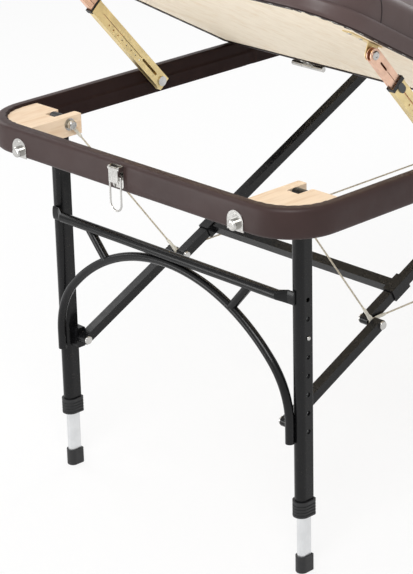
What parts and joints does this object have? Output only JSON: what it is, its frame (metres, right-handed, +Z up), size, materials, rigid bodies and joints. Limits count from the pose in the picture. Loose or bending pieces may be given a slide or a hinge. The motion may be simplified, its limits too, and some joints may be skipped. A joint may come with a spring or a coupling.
{
  "type": "folding massage table",
  "caption": "Portable padded massage table that folds at a middle hinge, with a lifting back panel on ratchet struts and telescopic folding legs braced by hinged tubes and cables.",
  "frame": {"origin": "floor level under the middle of the table", "axes": "+X along the length, away from the lifting back panel, +Y across to the left rail, +Z up"},
  "size_m": [1.881, 0.7, 0.9392],
  "materials": {
    "vinyl": "vinyl over wood",
    "pad_cover": "vinyl over foam",
    "plywood": "sanded",
    "block_wood": "sanded",
    "gold_zinc": "yellow zinc",
    "rose_zinc": "yellow zinc",
    "bright_nickel": "nickel plate",
    "black_plastic": "matte",
    "aluminium": "satin",
    "cable": "coated wire rope",
    "black_steel": "satin black"
  },
  "bodies": {
    "near_frame": {"near_rim": "vinyl", "near_corner_blocks": "block_wood", "near_frame_bolts": "bright_nickel", "near_top_brackets": "black_steel", "near_hinge_leaves": "bright_nickel", "middle_board": "plywood", "middle_pad": "pad_cover", "back_hinge_base": "bright_nickel", "catch_base": "bright_nickel", "near_stud_plates": "bright_nickel", "near_cables": "cable"},
    "fold_pin": {"hinge_pins": "bright_nickel"},
    "far_frame": {"far_rim": "vinyl", "far_corner_blocks": "block_wood", "far_frame_bolts": "bright_nickel", "far_top_brackets": "black_steel", "far_hinge_leaves": "bright_nickel", "far_board": "plywood", "far_pad": "pad_cover", "catch_keeper": "bright_nickel", "far_stud_plates": "bright_nickel", "far_cables": "cable"},
    "back_panel": {"back_board": "plywood", "back_pad": "pad_cover", "back_hinge_leaves": "bright_nickel", "strut_brackets": "bright_nickel"},
    "strut_outer": {"strut_channels": "gold_zinc", "strut_clips": "black_plastic"},
    "strut_inner": {"strut_slides": "rose_zinc"},
    "catch_arm": {"catch_lever": "bright_nickel"},
    "catch_loop": {"catch_bail": "bright_nickel"},
    "near_leg_frame": {"near_legs": "black_steel", "near_leg_stretcher": "black_steel", "near_leg_collars": "black_plastic"},
    "near_upper_brace_frame": {"near_upper_braces": "black_steel", "near_brace_tie": "black_steel", "near_knee_bolts": "black_steel"},
    "near_lower_brace_frame": {"near_lower_braces": "black_steel", "near_brace_bolts": "black_steel"},
    "near_left_leg_slide": {"near_left_inner_leg": "aluminium", "near_left_foot": "black_plastic"},
    "near_left_button_pin": {"near_left_button": "black_steel"},
    "near_right_leg_slide": {"near_right_inner_leg": "aluminium", "near_right_foot": "black_plastic"},
    "near_right_button_pin": {"near_right_button": "black_steel"},
    "far_leg_frame": {"far_legs": "black_steel", "far_leg_stretcher": "black_steel", "far_leg_collars": "black_plastic"},
    "far_upper_brace_frame": {"far_upper_braces": "black_steel", "far_brace_tie": "black_steel", "far_knee_bolts": "black_steel"},
    "far_lower_brace_frame": {"far_lower_braces": "black_steel", "far_brace_bolts": "black_steel"},
    "far_left_leg_slide": {"far_left_inner_leg": "aluminium", "far_left_foot": "black_plastic"},
    "far_left_button_pin": {"far_left_button": "black_steel"},
    "far_right_leg_slide": {"far_right_inner_leg": "aluminium", "far_right_foot": "black_plastic"},
    "far_right_button_pin": {"far_right_button": "black_steel"}
  },
  "joints": [
    {"name": "fold_a", "type": "hinge", "parent": "near_frame", "child": "fold_pin", "pos_m": [0, 0, 0.5697], "axis": [0, 1, 0], "range_deg": [0, 90]},
    {"name": "fold_b", "type": "hinge", "parent": "fold_pin", "child": "far_frame", "pos_m": [0, 0, 0.5697], "axis": [0, 1, 0], "range_deg": [0, 90]},
    {"name": "near_legs_fold", "type": "hinge", "parent": "near_frame", "child": "near_leg_frame", "pos_m": [-0.829, 0, 0.6], "axis": [0, -1, 0], "range_deg": [0, 90]},
    {"name": "near_upper_braces_fold", "type": "hinge", "parent": "near_frame", "child": "near_upper_brace_frame", "pos_m": [-0.063, 0, 0.6045], "axis": [0, 1, 0], "range_deg": [0, 25.89], "deforming": ["near_cables"]},
    {"name": "near_lower_braces_fold", "type": "hinge", "parent": "near_leg_frame", "child": "near_lower_brace_frame", "pos_m": [-0.8245, 0, 0.235], "axis": [0, -1, 0], "range_deg": [0, 64.12]},
    {"name": "near_left_height", "type": "slide", "parent": "near_leg_frame", "child": "near_left_leg_slide", "axis": [0, 0, -1], "range_m": [-0.06, 0.12]},
    {"name": "near_left_button_press", "type": "slide", "parent": "near_left_leg_slide", "child": "near_left_button_pin", "axis": [0, 1, 0], "range_m": [-0.005, 0], "stiffness_N_per_m": 1500, "springref_m": 0.004},
    {"name": "near_right_height", "type": "slide", "parent": "near_leg_frame", "child": "near_right_leg_slide", "axis": [0, 0, -1], "range_m": [-0.06, 0.12]},
    {"name": "near_right_button_press", "type": "slide", "parent": "near_right_leg_slide", "child": "near_right_button_pin", "axis": [0, -1, 0], "range_m": [-0.005, 0], "stiffness_N_per_m": 1500, "springref_m": 0.004},
    {"name": "far_legs_fold", "type": "hinge", "parent": "far_frame", "child": "far_leg_frame", "pos_m": [0.829, 0, 0.6], "axis": [0, 1, 0], "range_deg": [0, 90]},
    {"name": "far_upper_braces_fold", "type": "hinge", "parent": "far_frame", "child": "far_upper_brace_frame", "pos_m": [0.063, 0, 0.6045], "axis": [0, -1, 0], "range_deg": [0, 25.89], "deforming": ["far_cables"]},
    {"name": "far_lower_braces_fold", "type": "hinge", "parent": "far_leg_frame", "child": "far_lower_brace_frame", "pos_m": [0.8245, 0, 0.235], "axis": [0, 1, 0], "range_deg": [0, 64.12]},
    {"name": "far_left_height", "type": "slide", "parent": "far_leg_frame", "child": "far_left_leg_slide", "axis": [0, 0, -1], "range_m": [-0.06, 0.12]},
    {"name": "far_left_button_press", "type": "slide", "parent": "far_left_leg_slide", "child": "far_left_button_pin", "axis": [0, 1, 0], "range_m": [-0.005, 0], "stiffness_N_per_m": 1500, "springref_m": 0.004},
    {"name": "far_right_height", "type": "slide", "parent": "far_leg_frame", "child": "far_right_leg_slide", "axis": [0, 0, -1], "range_m": [-0.06, 0.12]},
    {"name": "far_right_button_press", "type": "slide", "parent": "far_right_leg_slide", "child": "far_right_button_pin", "axis": [0, -1, 0], "range_m": [-0.005, 0], "stiffness_N_per_m": 1500, "springref_m": 0.004},
    {"name": "back_tilt", "type": "hinge", "parent": "near_frame", "child": "back_panel", "pos_m": [-0.379, 0, 0.613], "axis": [0, 1, 0], "range_deg": [-29, 0]},
    {"name": "strut_swing", "type": "hinge", "parent": "near_frame", "child": "strut_outer", "pos_m": [-0.559, 0, 0.594], "axis": [0, 1, 0], "range_deg": [-46.83, 0]},
    {"name": "strut_slide", "type": "slide", "parent": "strut_outer", "child": "strut_inner", "axis": [-0.6598, 0, 0.7515], "range_m": [-0.04772, 0]},
    {"name": "catch_lever_swing", "type": "hinge", "parent": "near_frame", "child": "catch_arm", "pos_m": [-0.937, 0.008, 0.60732], "axis": [0, 1, 0], "range_deg": [0, 120]},
    {"name": "catch_bail_swing", "type": "hinge", "parent": "catch_arm", "child": "catch_loop", "pos_m": [-0.937, 0.008, 0.594], "axis": [0, 1, 0], "range_deg": [0, 60]}
  ],
  "couplings": [
    {"joint": "near_legs_fold", "follows": "fold_a", "ratio": 1},
    {"joint": "near_upper_braces_fold", "follows": "fold_a", "ratio": 0.2876},
    {"joint": "near_lower_braces_fold", "follows": "fold_a", "ratio": 0.7124},
    {"joint": "far_legs_fold", "follows": "fold_a", "ratio": 1},
    {"joint": "far_upper_braces_fold", "follows": "fold_a", "ratio": 0.2876},
    {"joint": "far_lower_braces_fold", "follows": "fold_a", "ratio": 0.7124},
    {"joint": "strut_swing", "follows": "back_tilt", "ratio": 1.6143},
    {"joint": "strut_slide", "follows": "back_tilt", "m_per_rad": 0.094261}
  ]
}
